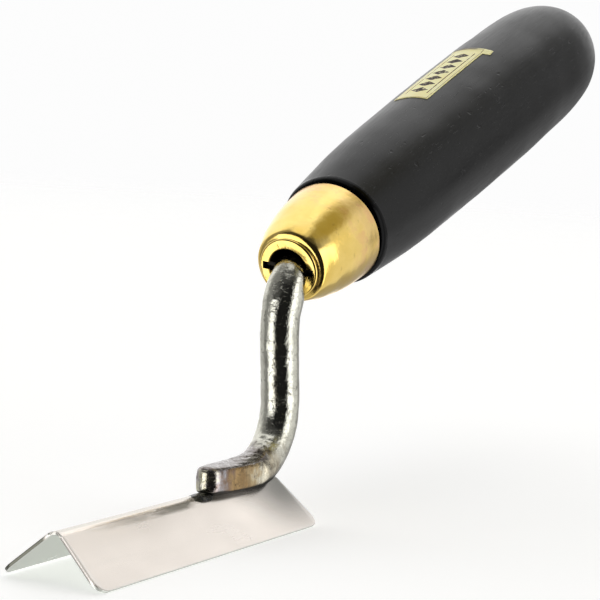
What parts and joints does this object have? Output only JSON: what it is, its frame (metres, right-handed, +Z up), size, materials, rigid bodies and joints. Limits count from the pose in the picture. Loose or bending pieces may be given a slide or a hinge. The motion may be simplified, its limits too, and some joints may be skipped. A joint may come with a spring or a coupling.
{
  "type": "outside corner trowel",
  "caption": "Hand trowel with a bent sheet blade shaped to an outside corner, a cranked steel shank, a brass ferrule and a turned wooden handle.",
  "frame": {"origin": "middle of the underside of the bounding box, on the plane through the blade's two free edges", "axes": "+Z up, away from the work along the corner's bisector; +X from the blade towards the handle's butt, along the ridge; Y across the blade"},
  "size_m": [0.2418, 0.0318, 0.12],
  "materials": {
    "blade_steel": "satin stainless sheet with fine grain along the blade, edges slightly brighter",
    "shank_steel": "polished forged rod with slight pitting, straw and purple heat tint on the foot",
    "weld_metal": "dark, rough weld metal",
    "ferrule_brass": "polished brass with light scratches and slight tarnish",
    "handle_wood": "black lacquered hardwood, satin, fine grain showing faintly",
    "label_foil": "thin pale gold foil with a dark printed ornament"
  },
  "bodies": {
    "root": {"blade": "blade_steel", "shank": "shank_steel", "toe_weld": "weld_metal", "heel_weld": "weld_metal", "ferrule": "ferrule_brass", "handle": "handle_wood", "handle_label": "label_foil"}
  },
  "joints": []
}
